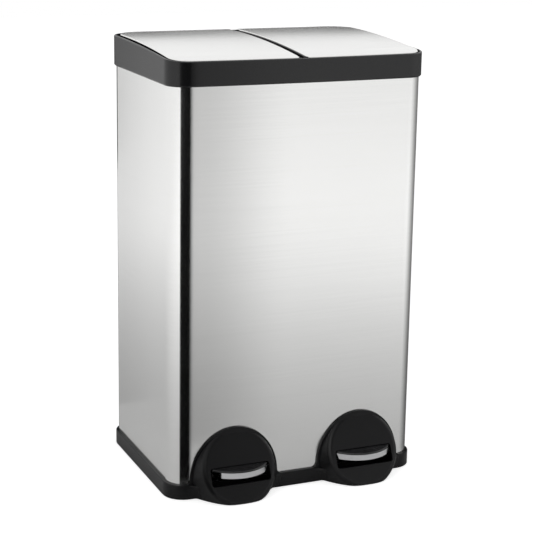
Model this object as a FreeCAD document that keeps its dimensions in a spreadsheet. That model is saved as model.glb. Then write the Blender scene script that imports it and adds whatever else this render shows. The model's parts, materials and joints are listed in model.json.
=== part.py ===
import FreeCAD, Part
import math
import os
import re

import Sketcher
from FreeCAD import Placement, Rotation, Vector

# A free-standing recycling bin with two compartments side by side. A steel wrap stands in a black
# moulded base and carries a moulded top rim. Each half has its own steel lid, opened by its own
# pedal: the pedal's lever lifts a push rod behind the bucket, and the rod lifts the lid by an ear
# in front of its hinge. Millimetres. +Z is up and the front, with the pedals, faces -Y. The origin
# is on the floor, in the middle of the bin's width and depth.

SIZES = {
    # steel wrap
    "body_width": 400,
    "body_depth": 278,
    "corner_radius": 28,
    "front_bow": 5,
    "steel_wall": 0.8,
    "fit_gap": 0.2,
    "rest_gap": 0.3,
    # base moulding
    "foot_gap": 1,
    "foot_radius": 12,
    "foot_inset": 30,
    "skirt_top": 23,
    "skirt_proud": 4.5,
    "skirt_wall": 3,
    "skirt_bevel": 1.2,
    "plate_low": 5,
    "plate_wall": 3,
    "groove_depth": 8,
    "lip_wall": 2.5,
    "rib_wall": 2,
    "rib_pitch": 62,
    "column_radius": 8,
    "column_gap": 6,
    # pedal domes
    "dome_half_width": 69,
    "dome_half_height": 79,
    "dome_level": 27,
    "dome_lip": 3,
    "dome_shoulder": 1,
    "dome_wall": 3,
    "disc_radius": 57,
    "disc_reach": 28,
    "disc_level": 50,
    "disc_tilt": 25,
    "disc_round": 8,
    "blend_radius": 8,
    "slot_width": 94,
    "slot_low": 28,
    "slot_high": 53.5,
    "slot_round": 4,
    "notch_width": 92,
    "notch_high": 64,
    # pedal, lever and bracket
    "pedal_width": 90,
    "pedal_reach": 50,
    "pedal_side_reach": 28,
    "pedal_back": 8,
    "trim_low": 41.5,
    "trim_height": 8.5,
    "trim_wall": 1.2,
    "pad_top": 52,
    "pad_wall": 4,
    "tread_pitch": 4,
    "tread_groove": 1.2,
    "pivot_depth": 42,
    "pivot_level": 38,
    "axle_radius": 3,
    "running_gap": 0.05,
    "lever_width": 24,
    "lever_wall": 2,
    "lever_height": 11,
    "lever_tail": 12,
    "cheek_wall": 2,
    "cheek_width": 26,
    "cheek_gap": 0.5,
    "bracket_flange": 16,
    # push rods and their guides
    "rod_inset": 29,
    "rod_radius": 3,
    "rod_travel": 28.5,
    "rod_gap": 0.7,
    "cap_radius": 5,
    "cap_height": 10,
    "slide_gap": 0.35,
    "guide_wall": 2.5,
    "guide_width": 34,
    "guide_height": 16,
    "lower_guide": 150,
    "guide_drop": 63,
    # inner floor and buckets
    "floor_low": 57,
    "floor_wall": 3,
    "floor_edge": 10,
    "locator_height": 5,
    "locator_wall": 2,
    "bucket_gap": 1.5,
    "bucket_wall": 1.8,
    "bucket_clear": 8.7,
    "bucket_draft": 13,
    "bucket_round": 24,
    "bucket_rim_width": 5,
    "bucket_rim_drop": 14,
    # top rim
    "rim_low": 617,
    "rim_proud": 3.5,
    "rim_height": 47,
    "rim_crown": 3600,
    "rim_edge_bevel": 1.1,
    "rim_foot_bevel": 2,
    "crest_wall": 3,
    "web_rise": 26,
    "web_wall": 3,
    "mouth_inset": 9,
    "mouth_round": 16,
    "mouth_wall": 2.2,
    "bar_width": 3,
    "bar_drop": 3,
    # lids
    "lid_inset": 2.5,
    "lid_half_gap": 3.2,
    "lid_corner": 9,
    "lid_back_corner": 38,
    "lid_proud": 2.4,
    "lid_crown": 2200,
    "lid_crown_depth": 230,
    "skin_wall": 0.8,
    "skin_hem": 5,
    "skin_bevel": 1.3,
    "liner_gap": 0.1,
    "liner_wall": 2.2,
    "liner_clear": 2,
    "liner_back": 18,
    "hinge_inset": 12,
    "hinge_rise": 43,
    "pin_radius": 2,
    "barrel_radius": 4.3,
    "barrel_length": 38,
    "barrel_pitch": 110,
    "ear_wall": 6,
    "ear_gap": 0.6,
    "lift_arm": 22.2,
    "lift_angle": 40,
    "lift_wall": 8,
    "lift_nose": 4,
    "lift_neck": 1.5,
    "lift_gap": 0.6,
    "buffer_radius": 3,
    "buffer_spread": 60,
    # fasteners
    "screw_radius": 1.8,
    "screw_head": 3.6,
    "screw_head_height": 2,
    "screw_length": 9,
}

# Places that follow from the sizes above. "front" is the plane of the steel front's corners.
PLACES = {
    "disc_foot": "disc_reach + (disc_level - foot_gap) * tan(disc_tilt)",
    "front": "(disc_foot - body_depth - skirt_proud) / 2",
    "back": "front + body_depth",
    "plate_top": "plate_low + plate_wall",
    "lip_top": "plate_top + groove_depth",
    "half_spacing": "body_width / 4 + 2",
    "rim_back_top": "rim_low + rim_height",
    "web_low": "rim_low + web_rise",
    "web_top": "web_low + web_wall",
    "lid_top": "rim_back_top + lid_proud",
    "liner_low": "web_top + liner_clear",
    "hinge_level": "rim_low + hinge_rise",
    "upper_guide": "rim_low - guide_drop",
    "steel_inside": "steel_wall + fit_gap",
    "floor_top": "floor_low + floor_wall",
    "crest_offset": "rim_proud - crest_wall",
    "pivot_back": "front + pivot_depth",
    "rod_back": "back - rod_inset",
    "lever_drop": "rod_travel / 2",
    "hinge_back": "back - hinge_inset",
    "nose_back": "hinge_back - lift_arm * cos(lift_angle)",
    "nose_level": "hinge_level - lift_arm * sin(lift_angle)",
    "rod_low": "pivot_level - lever_drop + rod_gap",
    "cap_top": "nose_level - lift_nose - lift_gap",
    "rod_top": "cap_top - cap_height / 2",
    "mouth_front": "front + mouth_inset",
    "mouth_back": "rod_back - cap_radius - mouth_wall - 4 * bucket_gap",
    "mouth_side": "body_width / 2 - mouth_inset - mouth_wall",
    "mouth_middle": "bar_width / 2 + mouth_wall + 1",
    "mouth_width": "mouth_side - mouth_middle",
    "mouth_depth": "mouth_back - mouth_front",
    "mouth_centre": "(mouth_side + mouth_middle) / 2",
    "mouth_centre_back": "(mouth_front + mouth_back) / 2",
    "bucket_low": "floor_top + rest_gap",
    "bucket_width": "mouth_width - 2 * bucket_gap",
    "bucket_depth": "mouth_depth - 2 * bucket_gap",
    "bucket_high": "rim_low - bucket_clear",
    "bucket_neck": "bucket_rim_width + bucket_wall",
    "bucket_top_width": "bucket_width - 2 * bucket_neck",
    "bucket_top_depth": "bucket_depth - 2 * bucket_neck",
    "screw_hole": "screw_radius + fit_gap / 2",
}

SIDES = {"left": "(0 - 1)", "right": "1"}
PLANES = {"XY": "XY_Plane", "XZ": "XZ_Plane", "YZ": "YZ_Plane"}
TURNS = {
    "X": Rotation(Vector(0, 1, 0), 90),
    "Y": Rotation(Vector(1, 0, 0), -90),
    "Z": Rotation(),
}
UPRIGHT = Rotation(Vector(0, 0, 1), Vector(1, 0, 0), Vector(0, 1, 0), "XYZ")

doc = FreeCAD.newDocument("RecyclingBin")
sheet = doc.addObject("Spreadsheet::Sheet", "Sizes")
for row, (alias, number) in enumerate(SIZES.items(), start=1):
    sheet.set(f"A{row}", alias)
    sheet.set(f"B{row}", str(number))
    sheet.setAlias(f"B{row}", alias)
doc.recompute()


# ---------------------------------------------------------------- formulas and shared shapes
def formula(text):
    """The text with each size and place in it written as cells of the sheet."""

    def spelled(match):
        word = match.group(0)
        if word in PLACES:
            return "(" + formula(PLACES[word]) + ")"
        return "Sizes." + word if word in SIZES else word

    return re.sub(r"[a-z][a-z_]*", spelled, text)


def value(text):
    """The formula's number now."""
    answer = sheet.evalExpression(formula(text))
    return float(getattr(answer, "Value", answer))


def bind(item, **sizes):
    for name, text in sizes.items():
        item.setExpression(name, formula(text))
    return item


def at(item, x, y, z, turn=Rotation()):
    item.Placement = Placement(Vector(), turn)
    for letter, text in zip("xyz", (x, y, z)):
        item.setExpression(f".Placement.Base.{letter}", formula(text))
    return item


def block(centre, width, front, depth, low, height):
    """A block centred on x = centre, from y = front backwards and from z = low upwards."""
    item = doc.addObject("Part::Box", "Block")
    bind(item, Length=width, Width=depth, Height=height)
    return at(item, f"{centre} - ({width}) / 2", front, low)


def bar(way, x, y, z, radius, length):
    """A round bar that starts at (x, y, z) and runs along +X, +Y or +Z."""
    item = doc.addObject("Part::Cylinder", "Bar")
    bind(item, Radius=radius, Height=length)
    return at(item, x, y, z, TURNS[way])


def fused(*pieces):
    item = doc.addObject("Part::MultiFuse", "Fused")
    item.Shapes = list(pieces)
    item.Refine = True
    return item


def cut(base, *tools):
    item = doc.addObject("Part::Cut", "Cut")
    item.Base = base
    item.Tool = tools[0] if len(tools) == 1 else fused(*tools)
    item.Refine = True
    return item


def common(*pieces):
    item = doc.addObject("Part::MultiCommon", "Common")
    item.Shapes = list(pieces)
    item.Refine = True
    return item


def group(pieces):
    """Separate solids in one node, such as a set of screws."""
    item = doc.addObject("Part::Compound", "Set")
    item.Links = list(pieces)
    return item


def mirrored(source):
    """The same piece on the other half of the bin."""
    item = doc.addObject("Part::Mirroring", "Mirrored")
    item.Source = source
    item.Normal = Vector(1, 0, 0)
    return item


def softened(kind, base, amount, chosen):
    """base with a Part::Fillet or Part::Chamfer on the edges for which chosen(edge) is true."""
    doc.recompute()
    item = doc.addObject(kind, "Softened")
    item.Base = base
    size = value(amount)
    edges = enumerate(base.Shape.Edges, start=1)
    item.Edges = [(number, size, size) for number, edge in edges if chosen(edge)]
    return item


def rounded(base, radius, chosen):
    return softened("Part::Fillet", base, radius, chosen)


def bevelled(base, leg, chosen):
    return softened("Part::Chamfer", base, leg, chosen)


def is_upright(edge):
    box = edge.BoundBox
    return box.XLength < 1e-6 and box.YLength < 1e-6


def runs_back(edge):
    box = edge.BoundBox
    return box.XLength < 1e-6 and box.ZLength < 1e-6


def lies_at(level):
    """A test for the edges that lie flat at the height of the formula level."""
    height = value(level)

    def test(edge):
        box = edge.BoundBox
        return abs(box.ZMin - height) < 1e-3 and abs(box.ZMax - height) < 1e-3

    return test


def rounded_block(centre, width, front, depth, low, height, radius):
    return rounded(block(centre, width, front, depth, low, height), radius, is_upright)


def outline_sketch():
    """The steel wrap's plan: straight back and sides, round corners and a front bowed forwards."""
    sketch = doc.addObject("Sketcher::SketchObject", "Outline")
    side = value("body_width") / 2
    depth = value("body_depth")
    corner = value("corner_radius")
    bow = value("front_bow")
    front_radius = (side**2 + bow**2) / (2 * bow)
    centre = front_radius - bow
    inner = side - corner
    corner_y = centre - math.sqrt((front_radius - corner) ** 2 - inner**2)
    meet = math.atan2(inner, centre - corner_y)
    down = -math.pi / 2
    up = Vector(0, 0, 1)

    def arc(x, y, radius, start, end):
        return Part.ArcOfCircle(Part.Circle(Vector(x, y, 0), up, radius), start, end)

    front_arc, right_front, right, right_back, back, left_back, left, left_front = range(8)
    sketch.addGeometry(
        [
            arc(0, centre, front_radius, down - meet, down + meet),
            arc(inner, corner_y, corner, down + meet, 0),
            Part.LineSegment(Vector(side, corner_y, 0), Vector(side, depth - corner, 0)),
            arc(inner, depth - corner, corner, 0, math.pi / 2),
            Part.LineSegment(Vector(inner, depth, 0), Vector(-inner, depth, 0)),
            arc(-inner, depth - corner, corner, math.pi / 2, math.pi),
            Part.LineSegment(Vector(-side, depth - corner, 0), Vector(-side, corner_y, 0)),
            arc(-inner, corner_y, corner, math.pi, down - meet + 2 * math.pi),
        ],
        False,
    )
    first, last, middle = 1, 2, 3
    ring = [front_arc, right_front, right, right_back, back, left_back, left, left_front]
    for here, after in zip(ring, ring[1:] + ring[:1]):
        sketch.addConstraint(Sketcher.Constraint("Tangent", here, last, after, first))
    origin = -1
    for line in (left, right):
        sketch.addConstraint(Sketcher.Constraint("Vertical", line))
    sketch.addConstraint(Sketcher.Constraint("Horizontal", back))
    sketch.addConstraint(Sketcher.Constraint("PointOnObject", front_arc, middle, -2))
    half = "body_width / 2"
    bow_radius = f"(({half}) ^ 2 + front_bow ^ 2) / (2 * front_bow)"
    driven = [
        ("DistanceX", (origin, 1, right, first), side, half),
        ("DistanceX", (left, first, origin, 1), side, half),
        ("DistanceY", (origin, 1, back, first), depth, "body_depth"),
        ("DistanceY", (origin, 1, front_arc, middle), centre, f"{bow_radius} - front_bow"),
        ("Radius", (front_arc,), front_radius, bow_radius),
    ]
    for turn in (right_front, right_back, left_back, left_front):
        driven.append(("Radius", (turn,), corner, "corner_radius"))
    for kind, places, number, text in driven:
        index = sketch.addConstraint(Sketcher.Constraint(kind, *places, number))
        sketch.setExpression(f"Constraints[{index}]", formula(text))
    return at(sketch, "0", "front", "0")


outline = outline_sketch()


def prism(offset, low, high):
    """The plan, grown by offset on all sides, from z = low to z = high."""
    item = doc.addObject("Part::Extrusion", "Prism")
    item.Base = outline
    if offset != "0":
        grown = doc.addObject("Part::Offset2D", "Grown")
        grown.Source = outline
        bind(grown, Value=offset)
        grown.Join = "Arc"
        item.Base = grown
    item.DirMode = "Custom"
    item.Dir = Vector(0, 0, 1)
    item.Solid = True
    bind(item, LengthFwd=f"({high}) - ({low})")
    item.setExpression(".Placement.Base.z", formula(low))
    return item


def crowned(depth, top, crown):
    """A long drum along X whose crest line is at y = depth and z = top."""
    width = "body_width + 2 * skirt_proud"
    return bar("X", f"0 - ({width}) / 2", depth, f"({top}) - ({crown})", crown, width)


# ---------------------------------------------------------------- sketches in bodies
def new_body(name):
    return doc.addObject("PartDesign::Body", name)


def sketch_in(body, plane):
    sketch = body.newObject("Sketcher::SketchObject", "Sketch")
    origin_plane = next(f for f in body.Origin.OriginFeatures if f.Role == PLANES[plane])
    sketch.AttachmentSupport = (origin_plane, [""])
    sketch.MapMode = "FlatFace"
    return sketch


def pin_down(sketch, item, point, x, y):
    """Holds a point of the sketch at (x, y), both formulas."""
    for kind, text in (("DistanceX", x), ("DistanceY", y)):
        constraint = Sketcher.Constraint(kind, -1, 1, item, point, value(text))
        index = sketch.addConstraint(constraint)
        sketch.setExpression(f"Constraints[{index}]", formula(text))


def polygon(body, plane, corners):
    """A closed profile through corners, each a pair of formulas."""
    sketch = sketch_in(body, plane)
    points = [Vector(value(x), value(y), 0) for x, y in corners]
    for here, after in zip(points, points[1:] + points[:1]):
        sketch.addGeometry(Part.LineSegment(here, after), False)
    count = len(points)
    for index, (x, y) in enumerate(corners):
        before = (index - 1) % count
        sketch.addConstraint(Sketcher.Constraint("Coincident", before, 2, index, 1))
        pin_down(sketch, index, 1, x, y)
    return sketch


def round_rectangle(body, plane, centre, middle, width, depth, radius):
    """A rectangle with round corners, centred on (centre, middle)."""
    sketch = sketch_in(body, plane)
    x, y = value(centre), value(middle)
    across, along, corner = value(width) / 2, value(depth) / 2, value(radius)
    for turn, (sx, sy) in enumerate(((1, -1), (1, 1), (-1, 1), (-1, -1))):
        hub = Vector(x + sx * (across - corner), y + sy * (along - corner), 0)
        start = (turn - 1) * math.pi / 2
        circle = Part.Circle(hub, Vector(0, 0, 1), corner)
        sketch.addGeometry(Part.ArcOfCircle(circle, start, start + math.pi / 2), False)
    for turn in range(4):
        here = sketch.Geometry[turn].EndPoint
        after = sketch.Geometry[(turn + 1) % 4].StartPoint
        sketch.addGeometry(Part.LineSegment(here, after), False)
    for turn in range(4):
        line = 4 + turn
        sketch.addConstraint(Sketcher.Constraint("Tangent", turn, 2, line, 1))
        sketch.addConstraint(Sketcher.Constraint("Tangent", line, 2, (turn + 1) % 4, 1))
    for turn, (sx, sy) in enumerate((("+", "-"), ("+", "+"), ("-", "+"), ("-", "-"))):
        hub_x = f"({centre}) {sx} (({width}) / 2 - ({radius}))"
        hub_y = f"({middle}) {sy} (({depth}) / 2 - ({radius}))"
        pin_down(sketch, turn, 3, hub_x, hub_y)
    index = sketch.addConstraint(Sketcher.Constraint("Radius", 0, corner))
    sketch.setExpression(f"Constraints[{index}]", formula(radius))
    return sketch


def padded(body, sketch, length, centred=False):
    pad = body.newObject("PartDesign::Pad", "Pad")
    pad.Profile = sketch
    bind(pad, Length=length)
    pad.Midplane = centred
    return pad


def pocketed(body, sketch, length, centred=False):
    pocket = body.newObject("PartDesign::Pocket", "Pocket")
    pocket.Profile = sketch
    bind(pocket, Length=length)
    pocket.Midplane = centred
    return pocket


def turned(name, corners, x, y, z, turn=Rotation()):
    """A turned piece: corners are (radius, height) pairs, turned about its own Z axis."""
    body = new_body(name)
    sketch = polygon(body, "XZ", corners)
    spin = body.newObject("PartDesign::Revolution", "Turned")
    spin.Profile = sketch
    spin.ReferenceAxis = (sketch, ["V_Axis"])
    spin.Angle = 360
    return at(body, x, y, z, turn)


def side_profile(name, corners, centre, width):
    """A plate with its profile in the YZ plane, width wide about x = centre."""
    body = new_body(name)
    padded(body, polygon(body, "YZ", corners), width, centred=True)
    return at(body, centre, "0", "0")


# ---------------------------------------------------------------- base moulding
def dome_shape(centre, inset, extra):
    """A pedal dome: flanks from an ellipse on the front plane to a round face that tilts up."""
    ellipse = doc.addObject("Part::Ellipse", "DomeFoot")
    narrower = f"dome_shoulder + {inset}"
    bind(
        ellipse,
        MajorRadius=f"dome_half_height - ({narrower})",
        MinorRadius=f"dome_half_width - ({narrower})",
    )
    at(ellipse, centre, f"front + {extra}", "dome_level", UPRIGHT)
    disc = doc.addObject("Part::Circle", "DomeFace")
    bind(disc, Radius=f"disc_radius - {inset}")
    tilt = Rotation(Vector(1, 0, 0), -value("disc_tilt"))
    at(
        disc,
        centre,
        f"front - disc_reach + ({inset}) * cos(disc_tilt)",
        f"disc_level - ({inset}) * sin(disc_tilt)",
        tilt * UPRIGHT,
    )
    loft = doc.addObject("Part::Loft", "Dome")
    loft.Sections = [ellipse, disc]
    loft.Solid = True
    loft.Ruled = True
    return loft


def is_dome_face_edge(edge):
    box = edge.BoundBox
    return box.YMin < value("front - disc_reach - 10") and box.YMax < value("front - dome_lip")


def dome_outside(centre):
    """A dome with the flat lip round it, whose outline runs into the skirt's top in a curve."""
    dome = rounded(dome_shape(centre, "0", "fit_gap"), "disc_round", is_dome_face_edge)
    foot = doc.addObject("Part::Ellipse", "LipOutline")
    bind(foot, MajorRadius="dome_half_height", MinorRadius="dome_half_width")
    at(foot, centre, "front - front_bow - dome_lip - 1", "dome_level", UPRIGHT)
    disc = doc.addObject("Part::Extrusion", "LipDisc")
    disc.Base = foot
    disc.DirMode = "Custom"
    disc.Dir = Vector(0, 1, 0)
    disc.Solid = True
    depth = "front_bow + dome_lip + 1 + fit_gap"
    bind(disc, LengthFwd=depth)
    wings = block(
        centre, "2 * (dome_half_width + 2 * blend_radius)", "front - front_bow - dome_lip - 1",
        depth, "foot_gap", "skirt_top - foot_gap",
    )
    middle, reach = value(centre), value("dome_half_width + blend_radius / 2")
    level = value("skirt_top")

    def is_blend(edge):
        box = edge.BoundBox
        near = abs(box.XMin - middle) < reach and abs(box.ZMin - level) < 1e-3
        return runs_back(edge) and near

    lip = rounded(fused(disc, wings), "blend_radius", is_blend)
    lip = common(lip, prism("dome_lip", "foot_gap", "dome_level + dome_half_height + 10"))
    above = block(centre, "3 * dome_half_width", "front - 100", "200", "foot_gap", "200")
    return common(fused(dome, lip), above)


def base_moulding():
    skirt = prism("skirt_proud", "foot_gap", "skirt_top")
    skirt = bevelled(skirt, "skirt_bevel", lies_at("skirt_top"))
    tools = [
        prism("fit_gap", "lip_top", "skirt_top + 200"),
        cut(
            prism("fit_gap", "plate_top", "lip_top"),
            prism("0 - steel_inside", "plate_top - 1", "lip_top + 1"),
        ),
        prism("0 - steel_inside - lip_wall", "plate_top", "lip_top + 1"),
        prism("skirt_proud - skirt_wall", "foot_gap - 1", "plate_low"),
    ]
    dome = cut(dome_outside("half_spacing"), prism("fit_gap", "foot_gap - 1", "skirt_top + 200"))
    solid = fused(cut(skirt, *tools), dome, mirrored(dome))
    hollows = []
    for side in SIDES.values():
        centre = f"{side} * half_spacing"
        hollow = dome_shape(centre, "dome_wall", "1")
        hollows.append(cut(hollow, prism("fit_gap + dome_wall", "foot_gap - 1", "skirt_top")))
        slot = block(
            centre, "slot_width", "front - 80", "80 - 15", "slot_low", "slot_high - slot_low"
        )
        hollows.append(rounded(slot, "slot_round", runs_back))
    solid = cut(solid, *hollows)
    ribs = []
    for step in (-2, -1, 1, 2):
        place = f"{step} * rib_pitch"
        ribs.append(block(place, "rib_wall", "front", "body_depth", "foot_gap", "plate_low"))
    for step in (-1, 0, 1):
        row_front = f"(front + back) / 2 + {step} * rib_pitch - rib_wall / 2"
        ribs.append(block("0", "body_width", row_front, "rib_wall", "foot_gap", "plate_low"))
    inside = prism("skirt_proud - skirt_wall", "foot_gap + 1", "plate_low")
    posts = []
    for x, y in column_places():
        post = bar("Z", x, y, "plate_low", "column_radius", "floor_low - plate_low")
        hole = bar("Z", x, y, "floor_low - screw_length", "screw_hole", "screw_length + 1")
        posts.append(cut(post, hole))
    screws = []
    for side in SIDES.values():
        for x in bracket_screw_places(f"{side} * half_spacing"):
            screws.append(
                bar("Z", x, "pivot_back", "plate_low - 1", "screw_hole", "plate_wall + 2")
            )
    return cut(fused(solid, common(fused(*ribs), inside), *posts), *screws)


def column_places():
    """The four columns that carry the inner floor, in the bin's corners."""
    inset = "(steel_inside + lip_wall + column_radius + column_gap)"
    for side in SIDES.values():
        for y in (f"front + {inset}", f"back - {inset}"):
            yield f"{side} * (body_width / 2 - {inset})", y


def feet():
    pads = []
    for side in SIDES.values():
        for y in ("front + foot_inset", "back - foot_inset"):
            x = f"{side} * (body_width / 2 - foot_inset)"
            pads.append(bar("Z", x, y, "0", "foot_radius", "plate_low"))
    return group(pads)


# ---------------------------------------------------------------- steel wrap
def body_shell():
    wrap = cut(
        prism("0", "plate_top", "web_low"),
        prism("0 - steel_wall", "plate_top - 1", "web_low + 1"),
    )
    openings = []
    for side in SIDES.values():
        centre = f"{side} * half_spacing"
        notch = block(
            centre, "notch_width", "front - 30", "60", "skirt_top", "notch_high - skirt_top"
        )
        openings.append(rounded(notch, "slot_round", runs_back))
        for level in ("lower_guide", "upper_guide"):
            openings += rivet_bars(centre, level, "screw_hole", "back - 5", "10")
    return cut(wrap, *openings)


# ---------------------------------------------------------------- inner floor and buckets
def bay(side):
    """The centre of one compartment."""
    return f"{side} * mouth_centre"


def inner_floor():
    plate = cut(
        prism("0 - steel_inside", "floor_low - floor_edge", "floor_top"),
        prism("0 - steel_inside - floor_wall", "floor_low - floor_edge - 1", "floor_low"),
    )
    frames = []
    holes = []
    for side in SIDES.values():
        sizes = []
        for grow in ("locator_wall + bucket_gap", "bucket_gap"):
            width = f"bucket_top_width - bucket_draft + 2 * (bucket_wall + {grow})"
            depth = f"bucket_top_depth - bucket_draft + 2 * (bucket_wall + {grow})"
            sizes.append(
                rounded_block(
                    bay(side), width, f"mouth_centre_back - ({depth}) / 2", depth,
                    "floor_low + floor_wall / 2", "floor_wall / 2 + locator_height",
                    "bucket_round / 2",
                )
            )
        frames.append(cut(sizes[0], sizes[1]))
        centre = f"{side} * half_spacing"
        holes.append(bar("Z", centre, "rod_back", "floor_low - 5", "rod_radius + slide_gap", "20"))
    holes += [bar("Z", x, y, "floor_low - 5", "screw_hole", "20") for x, y in column_places()]
    edge_front = block(
        "0", "body_width", "front - 10", "40", "floor_low - floor_edge - 1", "floor_edge + 1"
    )
    return cut(fused(cut(plate, edge_front), *frames), *holes)


def bucket(side):
    """A tapered bucket with a rolled rim that turns down, to lift it out by."""
    body = new_body("Bucket")
    middle = "mouth_centre_back"

    def ring(inset, low, high):
        """Two outlines, at the bucket's foot and at its top, drawn in by inset."""
        sections = []
        for level, draft in ((low, "bucket_draft"), (high, "0")):
            sketch = round_rectangle(
                body, "XY", bay(side), middle,
                f"bucket_top_width - {draft} + 2 * (bucket_wall - {inset})",
                f"bucket_top_depth - {draft} + 2 * (bucket_wall - {inset})",
                f"bucket_round - bucket_rim_width - {inset}",
            )
            sketch.setExpression("AttachmentOffset.Base.z", formula(level))
            sections.append(sketch)
        return sections

    for kind, inset, bottom, top in (
        ("PartDesign::AdditiveLoft", "0", "bucket_low", "bucket_high"),
        (
            "PartDesign::SubtractiveLoft", "bucket_wall", "bucket_low + bucket_wall",
            "bucket_high + 0.01",
        ),
    ):
        sections = ring(inset, bottom, top)
        loft = body.newObject(kind, "Wall")
        loft.Profile = sections[0]
        loft.Sections = [sections[1]]
        doc.recompute()

    def slab(inset, bottom, height):
        """A slab under the rim's outline, drawn in by inset."""
        return rounded_block(
            bay(side), f"bucket_width - 2 * ({inset})", f"{middle} - bucket_depth / 2 + {inset}",
            f"bucket_depth - 2 * ({inset})", bottom, height, f"bucket_round - ({inset})",
        )

    drop = "(bucket_high - bucket_rim_drop)"
    rim = cut(
        slab("0", drop, "bucket_rim_drop"),
        slab("bucket_neck", f"{drop} - 1", "bucket_rim_drop + 2"),
        slab("bucket_wall", f"{drop} - 1", "bucket_rim_drop + 1 - bucket_wall"),
    )
    return fused(body, rim)


# ---------------------------------------------------------------- pedal, lever, bracket, axle
def pedal_plan(body, level, inset):
    """The pedal's plan at z = level: a straight back, short sides and a bowed front edge."""
    sketch = sketch_in(body, "XY")
    side = value(f"pedal_width / 2 - ({inset})")
    nose = value(f"front - pedal_reach + {inset}")
    shoulder = value(f"front - pedal_side_reach + {inset}")
    back = value("front - pedal_back")
    left, right = Vector(-side, shoulder, 0), Vector(side, shoulder, 0)
    bow = Part.Arc(left, Vector(0, nose, 0), right)
    sketch.addGeometry(bow, False)
    ends = [right, Vector(side, back, 0), Vector(-side, back, 0), left]
    for here, after in zip(ends, ends[1:]):
        sketch.addGeometry(Part.LineSegment(here, after), False)
    arc_start, arc_end = (1, 2) if bow.StartPoint.x < 0 else (2, 1)
    joins = [(0, arc_end, 1, 1), (1, 2, 2, 1), (2, 2, 3, 1), (3, 2, 0, arc_start)]
    for join in joins:
        sketch.addConstraint(Sketcher.Constraint("Coincident", *join))
    across = f"pedal_width / 2 - ({inset})"
    pin_down(sketch, 1, 1, across, f"front - pedal_side_reach + {inset}")
    pin_down(sketch, 2, 1, across, "front - pedal_back")
    pin_down(sketch, 3, 1, f"0 - ({across})", "front - pedal_back")
    pin_down(sketch, 3, 2, f"0 - ({across})", f"front - pedal_side_reach + {inset}")
    rise = "(pedal_reach - pedal_side_reach)"
    bow_radius = f"(({across}) ^ 2 + {rise} ^ 2) / (2 * {rise})"
    index = sketch.addConstraint(Sketcher.Constraint("Radius", 0, value(bow_radius)))
    sketch.setExpression(f"Constraints[{index}]", formula(bow_radius))
    sketch.setExpression("AttachmentOffset.Base.z", formula(level))
    return sketch


def pedal_trim(centre):
    """The bright band round the pedal's front and sides, open behind."""
    body = new_body("Trim")
    padded(body, pedal_plan(body, "trim_low", "0"), "trim_height")
    pocket = pocketed(body, pedal_plan(body, "trim_low", "trim_wall"), "trim_height")
    pocket.Reversed = True
    return at(body, centre, "0", "0")


def pedal_pad(centre):
    """The pedal's tread, with a bevelled upper edge and grooves that follow its front edge."""
    body = new_body("Pad")
    padded(body, pedal_plan(body, "pad_top - pad_wall", "trim_wall + fit_gap / 2"), "pad_wall")
    pad = bevelled(at(body, centre, "0", "0"), "pad_wall / 4", lies_at("pad_top"))
    return cut(pad, *[tread_groove(centre, f"{step} * tread_pitch") for step in (1, 2, 3)])


def tread_groove(centre, inset):
    """What one groove takes away, a strip at inset from the pedal's outline."""
    edges = []
    for line in (inset, f"{inset} + tread_groove"):
        body = new_body("Groove")
        padded(body, pedal_plan(body, "pad_top - tread_groove / 2", line), "tread_groove")
        edges.append(at(body, centre, "0", "0"))
    return cut(*edges)


def lever_corners(inset):
    """The lever's side view: level under the pedal, then falling to the push rod."""
    tread = "trim_low + trim_wall"
    tail = "rod_back + lever_tail"
    return [
        ("front - pedal_side_reach", f"pad_top - pad_wall - ({inset})"),
        ("pivot_back", f"pad_top - pad_wall - ({inset}) - 2"),
        ("rod_back - 2 * rod_radius", f"pivot_level - lever_drop - ({inset})"),
        (tail, f"pivot_level - lever_drop - ({inset})"),
        (tail, "pivot_level - lever_drop - lever_height"),
        ("rod_back - 2 * rod_radius", "pivot_level - lever_drop - lever_height"),
        ("pivot_back", "pivot_level - axle_radius - lever_wall"),
        ("front - pedal_side_reach", tread),
    ]


def pedal_lever(centre):
    """A folded steel channel from the pedal to the push rod, with the pedal's seat plate."""
    outside = side_profile("Lever", lever_corners("0"), centre, "lever_width")
    inner_corners = lever_corners("lever_wall")
    low = "pivot_level - lever_drop - lever_height - 5"
    trough = [
        ("front - pedal_side_reach - 1", inner_corners[0][1]),
        inner_corners[1],
        inner_corners[2],
        ("rod_back + lever_tail + 1", inner_corners[3][1]),
        ("rod_back + lever_tail + 1", low),
        ("front - pedal_side_reach - 1", low),
    ]
    inside = side_profile("Trough", trough, centre, "lever_width - 2 * lever_wall")
    bore = bar(
        "X", f"{centre} - lever_width", "pivot_back", "pivot_level",
        "axle_radius + running_gap", "2 * lever_width",
    )
    seat = new_body("Seat")
    low = "pad_top - pad_wall - lever_wall"
    padded(seat, pedal_plan(seat, low, "trim_wall + fit_gap"), "lever_wall")
    at(seat, centre, "0", "0")
    return cut(fused(cut(outside, inside), seat), bore)


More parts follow.
